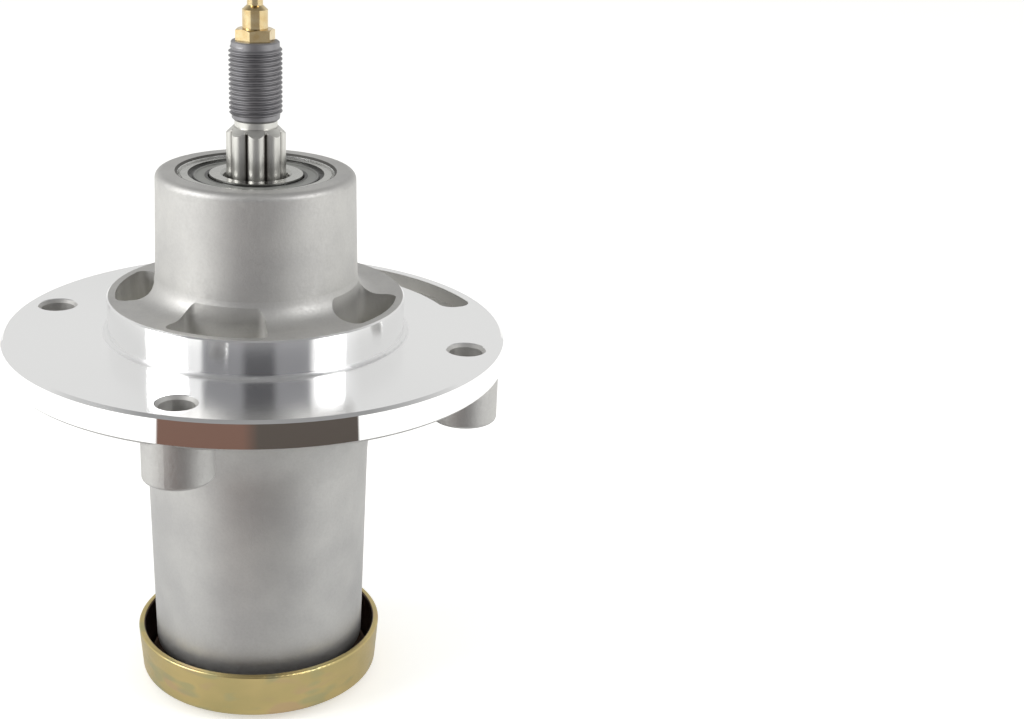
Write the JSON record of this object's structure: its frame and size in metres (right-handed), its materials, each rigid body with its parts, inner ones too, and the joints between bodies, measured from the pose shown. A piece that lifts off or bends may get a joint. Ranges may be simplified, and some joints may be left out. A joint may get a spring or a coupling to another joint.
{
  "type": "mower blade spindle assembly",
  "caption": "Cast flanged housing with a splined, threaded blade spindle on two sealed ball bearings, a star-faced blade seat in a pressed dust cup, and a grease fitting.",
  "frame": {"origin": "on the shaft axis, at the face of the star that the assembly stands on", "axes": "+Z along the shaft axis, from the blade star towards the pulley thread and grease fitting; +X to the right in the picture's upright view"},
  "size_m": [0.1546, 0.1546, 0.2257],
  "materials": {
    "cast_aluminium": "die-cast skin with a fine grain; flange face, rim and pilot turned bright",
    "forged_steel": "turned and lightly oiled",
    "yellow_zinc": "yellow passivated zinc plate on steel",
    "plated_brass": "turned brass, bright",
    "bearing_steel": "ground and polished",
    "cage_sheet": "pressed steel sheet",
    "seal_rubber": "moulded rubber over a steel washer"
  },
  "bodies": {
    "housing": {"housing": "cast_aluminium", "lower_bearing_outer_ring": "bearing_steel", "lower_bearing_top_seal": "seal_rubber", "lower_bearing_bottom_seal": "seal_rubber", "upper_bearing_outer_ring": "bearing_steel", "upper_bearing_top_seal": "seal_rubber", "upper_bearing_bottom_seal": "seal_rubber"},
    "spindle": {"spindle_shaft": "forged_steel", "lower_bearing_inner_ring": "bearing_steel", "upper_bearing_inner_ring": "bearing_steel", "bearing_spacer": "forged_steel", "dust_cup": "yellow_zinc", "grease_fitting": "plated_brass", "check_spring": "bearing_steel"},
    "lower_ball_set": {"lower_bearing_balls": "bearing_steel", "lower_bearing_cage_top": "cage_sheet", "lower_bearing_cage_bottom": "cage_sheet", "lower_bearing_cage_rivets": "cage_sheet"},
    "upper_ball_set": {"upper_bearing_balls": "bearing_steel", "upper_bearing_cage_top": "cage_sheet", "upper_bearing_cage_bottom": "cage_sheet", "upper_bearing_cage_rivets": "cage_sheet"},
    "check_ball": {"check_ball": "bearing_steel"}
  },
  "joints": [
    {"name": "spindle_spin", "type": "hinge", "parent": "housing", "child": "spindle", "pos_m": [0, 0, 0.09], "axis": [0, 0, 1], "continuous": true},
    {"name": "lower_ball_set_spin", "type": "hinge", "parent": "housing", "child": "lower_ball_set", "pos_m": [0, 0, 0.0202], "axis": [0, 0, 1], "continuous": true},
    {"name": "upper_ball_set_spin", "type": "hinge", "parent": "housing", "child": "upper_ball_set", "pos_m": [0, 0, 0.1624], "axis": [0, 0, 1], "continuous": true},
    {"name": "check_ball_slide", "type": "slide", "parent": "spindle", "child": "check_ball", "axis": [0, 0, 1], "range_m": [-0.0012, 0], "stiffness_N_per_m": 20, "springref_m": 0.0005, "deforming": ["check_spring"]}
  ],
  "couplings": [
    {"joint": "lower_ball_set_spin", "follows": "spindle_spin", "ratio": 0.38152},
    {"joint": "upper_ball_set_spin", "follows": "spindle_spin", "ratio": 0.38152}
  ]
}
